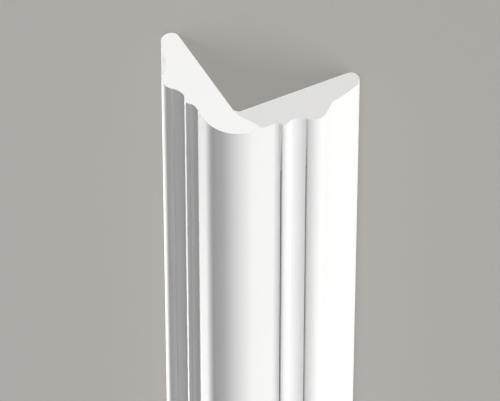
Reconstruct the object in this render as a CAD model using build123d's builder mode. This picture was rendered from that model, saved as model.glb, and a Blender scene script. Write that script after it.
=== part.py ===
"""Outside corner moulding: one solid stick of white polymer trim that wraps a wall corner.

The stick lies as it rests on a level floor, with the wall notch turned down: it stands on
the rounded tips of its two legs, its length runs along Y and its moulded face looks up.
All sizes are millimetres. In the section, "along" is measured on a wall face from the wall
corner towards the tip of the leg, and "out" is measured square to that wall face.
"""
import os
from math import sqrt

from build123d import *

# The stick
length = 2000.0
leg_width = 60.0
wall_corner_radius = 3.0

# Crown: the big round over the wall corner, with a flat on each side of it
crown_radius = 16.3
flat_out = 14.05
flat_width = 11.6

# Cove, the short straight step above it, and the narrow listel on top of them
cove_width = 2.6
cove_rise = 0.85
step_width = 1.8
step_rise = 1.6
listel_width = 1.5

# Hollow: a slope down from the listel, then a concave rise to the foot of the bead
slope_width = 2.9
slope_drop = 1.23
hollow_width = 5.7
hollow_rise = 2.03

# Main bead: a small riser, the round of the bead, and a straight fall from its outer side
riser_width = 0.9
riser_height = 1.0
bead_width = 9.4
bead_bow = 1.82
fall_width = 3.2
fall_drop = 2.95

# Sweep: the concave curve that turns the fall into the thin apron
sweep_width = 4.8
sweep_drop = 2.52

# Nose: the rounded tip of the leg
nose_reach = 3.35
nose_shoulder_out = 8.85
nose_back_radius = 3.7

# Points of one leg, as (along, out), each one stepped off from the point before it
crown_corner = Vector(-flat_out, flat_out)
flat_end = Vector(flat_width, flat_out)
cove_top = flat_end + Vector(cove_width, cove_rise)
listel_start = cove_top + Vector(step_width, step_rise)
listel_end = listel_start + Vector(listel_width, 0)
hollow_floor = listel_end + Vector(slope_width, -slope_drop)
bead_foot = hollow_floor + Vector(hollow_width, hollow_rise)
bead_start = bead_foot + Vector(riser_width, riser_height)
bead_end = bead_start + Vector(bead_width, 0)
sweep_start = bead_end + Vector(fall_width, -fall_drop)
sweep_end = sweep_start + Vector(sweep_width, -sweep_drop)
nose_shoulder = Vector(leg_width - nose_reach, nose_shoulder_out)
nose_tip = Vector(leg_width, nose_back_radius)
nose_back = Vector(leg_width - nose_back_radius, 0)
wall_corner = Vector(0, 0)

# The legs slope down at 45 degrees, and the back rounding of each nose touches the floor
wall_corner_height = (leg_width - 2 * nose_back_radius) / sqrt(2) + nose_back_radius
leg_plane = Plane(origin=(0, 0, wall_corner_height), x_dir=(1, 0, -1), z_dir=(0, -1, 0))
corner_mirror = Plane(origin=(0, 0, 0), z_dir=(1, 1, 0))

with BuildPart() as corner_moulding:
    with BuildSketch(leg_plane) as section:
        with BuildLine() as leg_outline:
            flat = Line(crown_corner, flat_end)
            cove = TangentArc(flat @ 1, cove_top, tangent=flat % 1)
            step = Line(cove @ 1, listel_start)
            listel = Line(step @ 1, listel_end)
            slope = Line(listel @ 1, hollow_floor)
            hollow = TangentArc(slope @ 1, bead_foot, tangent=flat % 1)
            riser = Line(hollow @ 1, bead_start)
            bead = SagittaArc(riser @ 1, bead_end, bead_bow)
            fall = Line(bead @ 1, sweep_start)
            sweep = TangentArc(fall @ 1, sweep_end, tangent=fall % 1)
            apron = TangentArc(sweep @ 1, nose_shoulder, tangent=sweep % 1)
            nose_front = TangentArc(nose_tip, apron @ 1, tangent=(0, 1))
            nose_under = TangentArc(nose_tip, nose_back, tangent=(0, -1))
            wall_face = Line(nose_under @ 1, wall_corner)
            mirror(about=corner_mirror)
        make_face()
        fillet(vertices().sort_by_distance(crown_corner)[0], crown_radius)
        fillet(vertices().sort_by_distance(wall_corner)[0], wall_corner_radius)
    extrude(amount=length / 2, both=True)

corner_moulding.part.label = "corner_moulding"

os.makedirs("parts", exist_ok=True)
export_step(corner_moulding.part, "parts/corner_moulding.step")
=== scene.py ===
from math import atan2, cos, radians, sin, sqrt, tan

import bmesh
import bpy
from mathutils import Matrix, Vector


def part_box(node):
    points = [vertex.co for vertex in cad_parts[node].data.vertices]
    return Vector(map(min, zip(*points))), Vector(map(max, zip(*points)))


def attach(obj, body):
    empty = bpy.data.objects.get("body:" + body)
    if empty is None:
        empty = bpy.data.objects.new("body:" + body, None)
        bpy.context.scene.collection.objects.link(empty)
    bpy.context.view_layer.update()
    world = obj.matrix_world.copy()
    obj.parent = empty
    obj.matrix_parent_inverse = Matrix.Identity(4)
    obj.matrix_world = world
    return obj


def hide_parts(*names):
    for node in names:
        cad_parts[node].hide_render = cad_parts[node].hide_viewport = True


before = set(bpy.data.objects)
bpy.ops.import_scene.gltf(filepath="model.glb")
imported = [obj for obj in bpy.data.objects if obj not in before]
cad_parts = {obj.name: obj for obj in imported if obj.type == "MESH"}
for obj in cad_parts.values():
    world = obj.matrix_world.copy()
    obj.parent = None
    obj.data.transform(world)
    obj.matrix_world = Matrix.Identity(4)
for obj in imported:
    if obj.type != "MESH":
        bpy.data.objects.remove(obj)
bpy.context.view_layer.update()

NODE = "corner_moulding"
MM = 0.001

# Section of one leg, in millimetres. "Along" runs down the wall face from the wall corner to the
# tip of the leg, and "out" stands square to that wall face.
LEG_WIDTH = 60.0
WALL_CORNER_RADIUS = 3.0
CROWN_RADIUS = 16.3
FLAT_OUT = 14.05
FLAT_WIDTH = 11.6
COVE_WIDTH, COVE_RISE = 2.6, 0.85
STEP_WIDTH, STEP_RISE = 1.8, 1.6
LISTEL_WIDTH = 1.5
SLOPE_WIDTH, SLOPE_DROP = 2.9, 1.23
HOLLOW_WIDTH, HOLLOW_RISE = 5.7, 2.03
RISER_WIDTH, RISER_HEIGHT = 0.9, 1.0
BEAD_WIDTH, BEAD_BOW = 9.4, 1.82
FALL_WIDTH, FALL_DROP = 3.2, 2.95
SWEEP_WIDTH, SWEEP_DROP = 4.8, 2.52
NOSE_REACH = 3.35
NOSE_SHOULDER_OUT = 8.85
NOSE_BACK_RADIUS = 3.7
WALL_CORNER_HEIGHT = (LEG_WIDTH - 2 * NOSE_BACK_RADIUS) / sqrt(2) + NOSE_BACK_RADIUS

# Quirks: the hairline grooves under the listel and at the foot of the bead. Each is set by its lip,
# its floor, a point on its far wall and its far edge, as (along, out) steps from the top of
# the cove and from the foot of the bead. The listel starts a little lower at its quirk.
LISTEL_QUIRK = (0.5, 0.55), (1.05, -1.3), (1.1, 0.1), (1.15, 1.25)
LISTEL_START = (2.05, 1.6)
BEAD_QUIRK = (0.35, 0.25), (0.75, -1.1), (0.8, -0.2), (0.85, 0.9)

# More than the depth of a quirk, and less than the thickness of the leg behind it
QUIRK_REACH = 3.0

# The quirks run out before each saw cut, over this length and in so many steps
QUIRK_RUN_OUT = 30.0
RUN_OUT_STEPS = 10

# Painted shade lies only where a quirk is deeper than this
PAINTED_SHADE_DEPTH = 1.0

# Softness that the paint and the mould leave on each sharp line, the most of a straight run that it
# takes, the turn from which a joint is sharp, and the turn of each step along an arc
ARRIS_RADIUS = 0.12
ARRIS_SHARE = 0.45
SHARP_JOINT = radians(6)
ARC_STEP = radians(4)

# Sharpest turn that is still shaded smooth, and how close to a wall face the wall side lies, in mm
SMOOTH_TURN = radians(30)
WALL_SIDE_TOLERANCE = 0.01

# Order of the materials on the stick
MOULDED, SAWN, WALL_SIDE, PAINTED_QUIRK_SHADE = range(4)

# Colours of the surfaces
PRIMER_WHITE = (0.83, 0.83, 0.825)
FOAM_WHITE = (0.83, 0.83, 0.825)
SANDED_WHITE = (0.80, 0.80, 0.79)
# Painted shade for the deep quirks: a dark grey that stands in for the shade of the hairline grooves
PAINTED_SHADE_GREY = (0.30, 0.30, 0.295)
FLOOR_GREY = (0.104, 0.100, 0.0935)

# Range that nearly all noise lies in
NOISE_LOW, NOISE_HIGH = 0.3, 0.7

# The floor, and the hidden sheets that shade the stick, in metres
FLOOR_REACH = 60.0
MAT_REACH = 1.5
MAT_DEPTH = 0.0005
SCREEN_REACH = 0.2
SCREEN_GAP = 0.02
SHADE_ANGLE = radians(20)

# Top and foot of the visor beside the left leg, as (along, out) points in millimetres
VISOR_TOP, VISOR_FOOT = (63.3, 29.0), (63.3, -5.0)

# Camera of the photograph, with its lengths in pixels, millimetres on the sensor and metres
PHOTO_WIDTH, PHOTO_HEIGHT = 500, 401
NOTCH_PIXEL = (235.38, 113.08)
FOCAL_PIXELS = 5045.0
SENSOR = 36.0
VIEW_DISTANCE = 2.2456
LOOK_ALONG = radians(45.185)
LOOK_ROUND = radians(17.803)

# Strip lights along the stick, on both sides of it: the angle from straight up towards +X, the width in
# metres and the power in watts
SIDE_STRIPS = {
    "key": (radians(84), 0.1, 10.8),
    "second": (radians(66), 0.2, 3.6),
    "top": (radians(20), 0.3, 3.35),
    "left": (radians(-30), 0.3, 1.85),
}
SIDE_DISTANCE = 0.8
SIDE_SPAN = (-1.3, 1.7)

# Two low strips in one place, which rake the left leg. The visor stands in the way of the high one.
RAKE_ANGLE = radians(-116.2)
RAKE_WIDTH = 0.012
RAKE_POWER, HIGH_RAKE_POWER = 5.8, 4.6
RAKE_DISTANCE = 0.35
RAKE_SPAN = (-1.3, 1.0)

# Square panels that face the sawn ends. The screen keeps the shine off the right leg.
END_DISTANCE = 2.0
END_WIDTH, SHINE_WIDTH = 0.5, 0.1
END_POWER, SHINE_POWER, BACK_END_POWER = 18.2, 8.4, 20

# Light on the floor. The stick stands only in the way of the weaker part, for a faint contact shadow.
OVERHEAD_SPREAD = radians(60)
OVERHEAD_STRENGTH, CONTACT_STRENGTH = 8.0, 2.4
WORLD_STRENGTH = 0.12


def turned(vector, angle):
    """The flat vector turned anticlockwise by the angle."""
    across = vector.x * cos(angle) - vector.y * sin(angle)
    upward = vector.x * sin(angle) + vector.y * cos(angle)
    return Vector((across, upward))


def between(start, end):
    """The signed angle from one direction to the other."""
    return atan2(start.x * end.y - start.y * end.x, start.dot(end))


def tangent_arc(start, end, tangent):
    """Points of the arc that leaves start along the tangent and passes through end."""
    chord = end - start
    half_turn = between(tangent, chord)
    steps = max(2, round(abs(2 * half_turn) / ARC_STEP))
    direction = tangent.normalized()
    step_length = chord.length / (2 * sin(half_turn)) * 2 * sin(half_turn / steps)
    points = [start]
    for step in range(steps):
        heading = turned(direction, half_turn * (2 * step + 1) / steps)
        points.append(points[-1] + heading * step_length)
    return points


def bowed_arc(start, end, bow):
    """Points of the arc from start to end that stands out from its chord, to the left, by the bow."""
    half_turn = 2 * atan2(bow, (end - start).length / 2)
    return tangent_arc(start, end, turned(end - start, half_turn))


def end_tangent(points, start_tangent):
    """The tangent at the far end of a tangent arc."""
    chord = points[-1] - points[0]
    return turned(chord, between(start_tangent, chord))


def rounding(before, corner, after, radius):
    """Points of the rounding that replaces a corner, kept short of the middles of the runs beside it."""
    incoming, outgoing = corner - before, after - corner
    room = ARRIS_SHARE * min(incoming.length, outgoing.length)
    cut = min(room, radius * tan(abs(between(incoming, outgoing)) / 2))
    return tangent_arc(corner - incoming.normalized() * cut, corner + outgoing.normalized() * cut, incoming)


def joined(runs, radius):
    """One line of points through the runs, with each sharp joint rounded."""
    line = list(runs[0])
    for run in runs[1:]:
        before, corner, after = line[-2], run[0], run[1]
        if abs(between(corner - before, after - corner)) > SHARP_JOINT:
            line[-1:] = rounding(before, corner, after, radius)
        line += run[1:]
    return line


def filled(line, bridge):
    """The line with each point that lies just under the bridge lifted onto it."""
    lifted = []
    for point in line:
        for start, end in zip(bridge, bridge[1:]):
            share = (point.x - start.x) / (end.x - start.x)
            over = start.y + (end.y - start.y) * share
            if 0 <= share < 1 and 0 < over - point.y < QUIRK_REACH:
                point = Vector((point.x, over))
        lifted.append(point)
    return lifted


def crown_arc():
    """Half of the crown, from its ridge to the flat."""
    centre = Vector((CROWN_RADIUS - FLAT_OUT, FLAT_OUT - CROWN_RADIUS))
    ridge = centre + Vector((-1, 1)) * (CROWN_RADIUS / sqrt(2))
    return tangent_arc(ridge, centre + Vector((0, CROWN_RADIUS)), Vector((1, 1)))


def notch_arc():
    """Half of the rounding in the notch, from the wall face to its root."""
    centre = Vector((WALL_CORNER_RADIUS, -WALL_CORNER_RADIUS))
    root = centre + Vector((-1, 1)) * (WALL_CORNER_RADIUS / sqrt(2))
    return tangent_arc(Vector((WALL_CORNER_RADIUS, 0)), root, Vector((-1, 0)))


def listel_part(flat_end):
    """Runs of the cove, the quirk, the listel and the slope, and the line that bridges the quirk."""
    cove_top = flat_end + Vector((COVE_WIDTH, COVE_RISE))
    quirk = [cove_top + Vector(step) for step in LISTEL_QUIRK]
    listel_start = cove_top + Vector(LISTEL_START)
    listel_end = cove_top + Vector((STEP_WIDTH + LISTEL_WIDTH, STEP_RISE))
    hollow_floor = listel_end + Vector((SLOPE_WIDTH, -SLOPE_DROP))
    runs = [
        tangent_arc(flat_end, cove_top, Vector((1, 0))),
        [cove_top, quirk[0]],
        quirk[:2],
        quirk[1:],
        [quirk[-1], listel_start],
        [listel_start, listel_end],
        [listel_end, hollow_floor],
    ]
    return runs, [cove_top, quirk[0], quirk[-1], listel_start]


def bead_part(hollow_floor):
    """Runs of the hollow, the quirk, the riser and the bead, and the line that bridges the quirk."""
    bead_foot = hollow_floor + Vector((HOLLOW_WIDTH, HOLLOW_RISE))
    quirk = [bead_foot + Vector(step) for step in BEAD_QUIRK]
    bead_start = bead_foot + Vector((RISER_WIDTH, RISER_HEIGHT))
    bead_end = bead_start + Vector((BEAD_WIDTH, 0))
    hollow = tangent_arc(hollow_floor, quirk[0], Vector((1, 0)))
    runs = [
        hollow,
        quirk[:2],
        quirk[1:],
        [quirk[-1], bead_start],
        bowed_arc(bead_start, bead_end, BEAD_BOW),
    ]
    return runs, [hollow[-2], quirk[0], quirk[-1], bead_start]


def nose_part(bead_end):
    """Runs of the fall, the sweep, the apron and the nose, which ends on the wall face."""
    fall = Vector((FALL_WIDTH, -FALL_DROP))
    sweep_start = bead_end + fall
    sweep_end = sweep_start + Vector((SWEEP_WIDTH, -SWEEP_DROP))
    nose_shoulder = Vector((LEG_WIDTH - NOSE_REACH, NOSE_SHOULDER_OUT))
    nose_tip = Vector((LEG_WIDTH, NOSE_BACK_RADIUS))
    nose_back = Vector((LEG_WIDTH - NOSE_BACK_RADIUS, 0))
    sweep = tangent_arc(sweep_start, sweep_end, fall)
    return [
        [bead_end, sweep_start],
        sweep,
        tangent_arc(sweep_end, nose_shoulder, end_tangent(sweep, fall)),
        tangent_arc(nose_tip, nose_shoulder, Vector((0, 1)))[::-1],
        tangent_arc(nose_tip, nose_back, Vector((0, -1))),
    ]


def leg_outlines():
    """Outline of one leg without its quirks and with them, point for point, as (along, out) points.

    It runs from the ridge of the crown over the moulded face and back along the wall face.
    """
    crown, notch = crown_arc(), notch_arc()
    flat_end = Vector((FLAT_WIDTH, FLAT_OUT))
    listel_runs, listel_bridge = listel_part(flat_end)
    hollow_floor = listel_runs[-1][-1]
    bead_runs, bead_bridge = bead_part(hollow_floor)
    bead_end = bead_bridge[-1] + Vector((BEAD_WIDTH, 0))
    nose_runs = nose_part(bead_end)
    nose_back = nose_runs[-1][-1]
    flat, wall_face = [crown[-1], flat_end], [nose_back, notch[0]]
    runs = [crown, flat, *listel_runs, *bead_runs, *nose_runs, wall_face, notch]
    grooved = joined(runs, ARRIS_RADIUS)
    plain = filled(filled(grooved, listel_bridge), bead_bridge)
    return plain, grooved


def mirrored(point):
    """The same point on the left leg."""
    return Vector((-point.y, -point.x))


def placed(point):
    """X and Z, in metres, of a point of the right leg given as (along, out) in millimetres."""
    right = (point.x + point.y) / sqrt(2)
    up = WALL_CORNER_HEIGHT - (point.x - point.y) / sqrt(2)
    return Vector((right, up)) * MM


def whole_section(leg):
    """The outline of both legs as X and Z in metres, without a doubled point."""
    other_leg = [mirrored(point) for point in leg[-2:0:-1]]
    return [placed(point) for point in leg + other_leg]


def on_wall_side(*points):
    """Whether the points of the section all lie on a wall face."""
    out_from_wall = [(abs(point.x) + point.y - WALL_CORNER_HEIGHT * MM) / sqrt(2) for point in points]
    return max(out_from_wall) < WALL_SIDE_TOLERANCE * MM


def side_surfaces(plain, grooved):
    """The material of each side of the section, from every point to the one after it."""
    # Sides deep in a quirk get the painted shade
    painted_shade = [(bridged - point).length > PAINTED_SHADE_DEPTH * MM for bridged, point in zip(plain, grooved)]
    surfaces = []
    for index, point in enumerate(grooved):
        after = (index + 1) % len(grooved)
        if on_wall_side(point, grooved[after]):
            surfaces.append(WALL_SIDE)
        elif painted_shade[index] and painted_shade[after]:
            surfaces.append(PAINTED_QUIRK_SHADE)
        else:
            surfaces.append(MOULDED)
    return surfaces


def run_out(plain, grooved, end, full_depth):
    """Rows of the section, each with its Y, from the saw cut to where the quirks have their full depth."""
    rows = []
    for step in range(RUN_OUT_STEPS + 1):
        share = step / RUN_OUT_STEPS
        loop = [bridged.lerp(point, share) for bridged, point in zip(plain, grooved)]
        rows.append((loop, end + (full_depth - end) * share))
    return rows


def new_object(name, data):
    """A new object in the scene with this mesh, light or camera."""
    thing = bpy.data.objects.new(name, data)
    bpy.context.scene.collection.objects.link(thing)
    return thing


def make_moulding():
    """The stick as one closed mesh: the section drawn along Y, with plain ends past the quirks."""
    low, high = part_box(NODE)
    plain, grooved = [whole_section(leg) for leg in leg_outlines()]
    surfaces = side_surfaces(plain, grooved)
    reach = QUIRK_RUN_OUT * MM
    rows = run_out(plain, grooved, low.y, low.y + reach)
    rows += run_out(plain, grooved, high.y, high.y - reach)[::-1]

    mesh = bmesh.new()
    rings = [[mesh.verts.new((point.x, y, point.y)) for point in loop] for loop, y in rows]
    for stretch, (ring, following) in enumerate(zip(rings, rings[1:])):
        in_middle = stretch == RUN_OUT_STEPS
        for index, surface in enumerate(surfaces):
            after = (index + 1) % len(ring)
            side = mesh.faces.new((ring[index], ring[after], following[after], following[index]))
            side.smooth = True
            # The painted shade lies only in the middle stretch, where the quirks have their full depth
            side.material_index = surface if in_middle or surface != PAINTED_QUIRK_SHADE else MOULDED
    for ring in (rings[0][::-1], rings[-1]):
        end = mesh.faces.new(ring)
        end.material_index = SAWN
    bmesh.ops.recalc_face_normals(mesh, faces=mesh.faces)
    data = bpy.data.meshes.new("moulding")
    mesh.to_mesh(data)
    mesh.free()
    data.set_sharp_from_angle(angle=SMOOTH_TURN)
    return new_object("moulding", data)


def new_material(name, color):
    """A material with its node tree and its shader."""
    material = bpy.data.materials.new(name)
    material.use_nodes = True
    tree = material.node_tree
    shader = tree.nodes["Principled BSDF"]
    shader.inputs["Base Color"].default_value = (*color, 1)
    return material, tree, shader


def add_node(tree, kind, **inputs):
    """A new node. Each input, with underscores for spaces, takes a value or another node's output."""
    node = tree.nodes.new(kind)
    for name, value in inputs.items():
        socket = node.inputs[name.replace("_", " ")]
        if isinstance(value, bpy.types.NodeSocket):
            tree.links.new(value, socket)
        else:
            socket.default_value = value
    return node


def grain(tree, size, stretch=(1, 1, 1), detail=2.0):
    """Noise with grains of this size in metres, drawn out along X, Y and Z by the stretch."""
    place = tree.nodes.new("ShaderNodeTexCoord").outputs["Object"]
    scale = [1 / factor for factor in stretch]
    mapping = add_node(tree, "ShaderNodeMapping", Vector=place, Scale=scale).outputs["Vector"]
    noise = add_node(tree, "ShaderNodeTexNoise", Vector=mapping, Scale=1 / size, Detail=detail)
    return noise.outputs["Fac"]


def spread(tree, noise, low, high):
    """The noise spread over the range from low to high."""
    levels = add_node(tree, "ShaderNodeMapRange", Value=noise, To_Min=low, To_Max=high)
    levels.inputs["From Min"].default_value = NOISE_LOW
    levels.inputs["From Max"].default_value = NOISE_HIGH
    return levels.outputs["Result"]


def tint(tree, shader, color, brightness):
    """Feeds the shader with the colour, made lighter or darker from place to place."""
    tinted = add_node(tree, "ShaderNodeHueSaturation", Value=brightness, Color=(*color, 1))
    tree.links.new(tinted.outputs["Color"], shader.inputs["Base Color"])


def relief(tree, shader, *layers):
    """Feeds the shader with the layers of relief, each a height from 0 to 1 and its depth in metres."""
    normal = None
    for height, depth in layers:
        bump = add_node(tree, "ShaderNodeBump", Height=height, Distance=depth)
        if normal:
            tree.links.new(normal, bump.inputs["Normal"])
        normal = bump.outputs["Normal"]
    tree.links.new(normal, shader.inputs["Normal"])


def moulded_white():
    """Satin primer on the moulded face, with faint lines along the stick and a fine orange peel."""
    material, tree, shader = new_material("moulded white", PRIMER_WHITE)
    clouds = grain(tree, 60 * MM, detail=4)
    drawn_lines = grain(tree, 0.8 * MM, stretch=(1, 400, 1))
    peel = grain(tree, 1.2 * MM)
    tint(tree, shader, PRIMER_WHITE, spread(tree, clouds, low=0.985, high=1.015))
    tree.links.new(spread(tree, peel, low=0.54, high=0.62), shader.inputs["Roughness"])
    shader.inputs["Specular IOR Level"].default_value = 0.3
    relief(tree, shader, (drawn_lines, 0.002 * MM), (peel, 0.004 * MM))
    return material


def sawn_foam():
    """The sawn end: hard white foam with the marks of the saw and fine open pores."""
    material, tree, shader = new_material("sawn foam", FOAM_WHITE)
    saw_marks = grain(tree, 0.7 * MM, stretch=(30, 1, 1))
    pores = grain(tree, 0.35 * MM, detail=3)
    tint(tree, shader, FOAM_WHITE, spread(tree, pores, low=0.975, high=1.02))
    tree.links.new(spread(tree, pores, low=0.75, high=0.62), shader.inputs["Roughness"])
    relief(tree, shader, (saw_marks, 0.006 * MM), (pores, 0.010 * MM))
    return material


def sanded_white():
    """The wall side, which is left unprimed and roughened along its length for the adhesive."""
    material, tree, shader = new_material("sanded white", SANDED_WHITE)
    clouds = grain(tree, 45 * MM, detail=4)
    scratches = grain(tree, 0.5 * MM, stretch=(1, 60, 1), detail=3)
    tint(tree, shader, SANDED_WHITE, spread(tree, clouds, low=0.97, high=1.02))
    tree.links.new(spread(tree, scratches, low=0.60, high=0.78), shader.inputs["Roughness"])
    relief(tree, shader, (scratches, 0.015 * MM))
    return material


def quirk_painted_shade():
    """Painted shade deep in the quirks: a dark grey that stands in for the shade of the hairline grooves.
    """
    material, tree, shader = new_material("painted quirk shade", PAINTED_SHADE_GREY)
    shade_noise = grain(tree, 0.5 * MM, stretch=(1, 20, 1), detail=3)
    tint(tree, shader, PAINTED_SHADE_GREY, spread(tree, shade_noise, low=0.9, high=1.1))
    shader.inputs["Roughness"].default_value = 0.85
    return material


def floor_grey():
    """The dull studio floor, in very faint clouds."""
    material, tree, shader = new_material("floor grey", FLOOR_GREY)
    clouds = grain(tree, 0.25, detail=3)
    tint(tree, shader, FLOOR_GREY, spread(tree, clouds, low=0.99, high=1.01))
    shader.inputs["Roughness"].default_value = 0.9
    return material


def flat_piece(name, points):
    """A piece of one face through the points."""
    data = bpy.data.meshes.new(name)
    data.from_pydata(points, [], [range(len(points))])
    piece = new_object(name, data)
    return piece


def hidden_sheet(name, points):
    """A piece that shows nothing but its shadow."""
    sheet = flat_piece(name, points)
    sheet.visible_camera = False
    sheet.visible_diffuse = False
    sheet.visible_glossy = False
    return sheet


def make_floor():
    """The level floor that the stick lies on."""
    corners = [(-1, -1), (1, -1), (1, 1), (-1, 1)]
    floor = flat_piece("floor", [(x * FLOOR_REACH, y * FLOOR_REACH, 0) for x, y in corners])
    floor.data.materials.append(floor_grey())
    return floor


def make_mat():
    """Just under the floor: keeps the low light out of the tunnel below the stick."""
    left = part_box(NODE)[0].x + NOSE_BACK_RADIUS * MM
    corners = [(left, -MAT_REACH), (MAT_REACH, -MAT_REACH), (MAT_REACH, MAT_REACH), (left, MAT_REACH)]
    return hidden_sheet("mat", [(x, y, -MAT_DEPTH) for x, y in corners])


def make_visor():
    """Beside the left leg: keeps part of the low light off the flank that the photograph doesn't show."""
    top, foot = [placed(mirrored(Vector(point))) for point in (VISOR_TOP, VISOR_FOOT)]
    corners = [(top, -MAT_REACH), (top, MAT_REACH), (foot, MAT_REACH), (foot, -MAT_REACH)]
    return hidden_sheet("visor", [(point.x, y, point.y) for point, y in corners])


def make_screen():
    """Just past the sawn end: shades the end of the right leg, as the wall does in the photograph."""
    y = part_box(NODE)[1].y + SCREEN_GAP
    top = WALL_CORNER_HEIGHT * MM
    foot = top - SCREEN_REACH
    far_top = top + SCREEN_REACH * tan(SHADE_ANGLE)
    corners = [(0, top), (0, foot), (SCREEN_REACH, foot), (SCREEN_REACH, far_top)]
    return hidden_sheet("screen", [(x, y, z) for x, z in corners])


def make_camera():
    """The camera of the photograph, set by where it shows the corner of the notch at the sawn end."""
    notch = Vector((0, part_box(NODE)[1].y, WALL_CORNER_HEIGHT * MM))
    outward = Vector((sin(LOOK_ROUND), 0, cos(LOOK_ROUND)))
    along = Vector((0, 1, 0))
    right = Vector((cos(LOOK_ROUND), 0, -sin(LOOK_ROUND)))
    up = cos(LOOK_ALONG) * along - sin(LOOK_ALONG) * outward
    back = sin(LOOK_ALONG) * along + cos(LOOK_ALONG) * outward
    metres_per_pixel = VIEW_DISTANCE / FOCAL_PIXELS
    across = (NOTCH_PIXEL[0] - PHOTO_WIDTH / 2) * metres_per_pixel
    above = (PHOTO_HEIGHT / 2 - NOTCH_PIXEL[1]) * metres_per_pixel
    data = bpy.data.cameras.new("camera")
    data.sensor_width = SENSOR
    data.lens = FOCAL_PIXELS / PHOTO_WIDTH * SENSOR
    camera = new_object("camera", data)
    camera.matrix_world = Matrix((right, up, back)).transposed().to_4x4()
    camera.location = notch - right * across - up * above + back * VIEW_DISTANCE
    bpy.context.scene.camera = camera


def panel(name, target, away, along, distance, length, width, power):
    """A light panel that faces the target from the direction away, with its length set along the other."""
    data = bpy.data.lights.new(name, "AREA")
    data.shape = "RECTANGLE"
    data.size = length
    data.size_y = width
    data.energy = power
    light = new_object(name, data)
    light.matrix_world = Matrix((along, away.cross(along), away)).transposed().to_4x4()
    light.location = target + away * distance
    light.visible_camera = False
    return light


def strip(name, from_up, distance, span, width, power):
    """A strip light along the stick. from_up is its angle from straight up, towards +X."""
    low_end, high_end = span
    target = Vector((0, (low_end + high_end) / 2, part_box(NODE)[1].z))
    away = Vector((sin(from_up), 0, cos(from_up)))
    return panel(name, target, away, Vector((0, 1, 0)), distance, high_end - low_end, width, power)


def end_panel(name, side, width, power):
    """A square panel on the stick's own line that faces its sawn end on this side, 1 or -1."""
    low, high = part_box(NODE)
    target = Vector((0, high.y * side, (low.z + high.z) / 2))
    return panel(name, target, Vector((0, side, 0)), Vector((1, 0, 0)), END_DISTANCE, width, width, power)


def overhead_light(name, strength):
    """A broad light from straight above."""
    data = bpy.data.lights.new(name, "SUN")
    data.energy = strength
    data.angle = OVERHEAD_SPREAD
    return new_object(name, data)


def link_light(light, lit, shadowing):
    """Lets the light reach only some objects, and lets only some of them stand in its way."""
    for use, items in (("receiver", lit), ("blocker", shadowing)):
        group = bpy.data.collections.new(light.name + " " + use)
        for item in items:
            group.objects.link(item)
        setattr(light.light_linking, use + "_collection", group)


def light_moulding(moulding, mat, visor, screen):
    """The lights that reach only the stick, each with the hidden sheets that shade it."""
    for name, (angle, width, power) in SIDE_STRIPS.items():
        side = strip(name, angle, SIDE_DISTANCE, SIDE_SPAN, width, power)
        link_light(side, [moulding], [moulding])
    rake = strip("rake", RAKE_ANGLE, RAKE_DISTANCE, RAKE_SPAN, RAKE_WIDTH, RAKE_POWER)
    link_light(rake, [moulding], [moulding, mat])
    high_rake = strip("high rake", RAKE_ANGLE, RAKE_DISTANCE, RAKE_SPAN, RAKE_WIDTH, HIGH_RAKE_POWER)
    link_light(high_rake, [moulding], [moulding, mat, visor])
    link_light(end_panel("end", 1, END_WIDTH, END_POWER), [moulding], [moulding])
    link_light(end_panel("shine", 1, SHINE_WIDTH, SHINE_POWER), [moulding], [moulding, screen])
    link_light(end_panel("back end", -1, END_WIDTH, BACK_END_POWER), [moulding], [moulding])


def light_floor(floor, moulding):
    """The lights that reach only the floor. The stick stands in the way of the weaker one."""
    link_light(overhead_light("overhead", OVERHEAD_STRENGTH), [floor], [floor])
    link_light(overhead_light("contact", CONTACT_STRENGTH), [floor], [moulding, floor])


def make_world():
    """Even white light from all round."""
    world = bpy.data.worlds.new("world")
    bpy.context.scene.world = world
    world.use_nodes = True
    background = world.node_tree.nodes["Background"]
    background.inputs["Color"].default_value = (1, 1, 1, 1)
    background.inputs["Strength"].default_value = WORLD_STRENGTH


moulding = make_moulding()
for surface in (moulded_white, sawn_foam, sanded_white, quirk_painted_shade):
    moulding.data.materials.append(surface())
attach(moulding, "root")
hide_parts(NODE)

floor = make_floor()
mat = make_mat()
visor = make_visor()
screen = make_screen()

make_camera()
light_moulding(moulding, mat, visor, screen)
light_floor(floor, moulding)
make_world()
bpy.context.scene.view_settings.view_transform = "Standard"
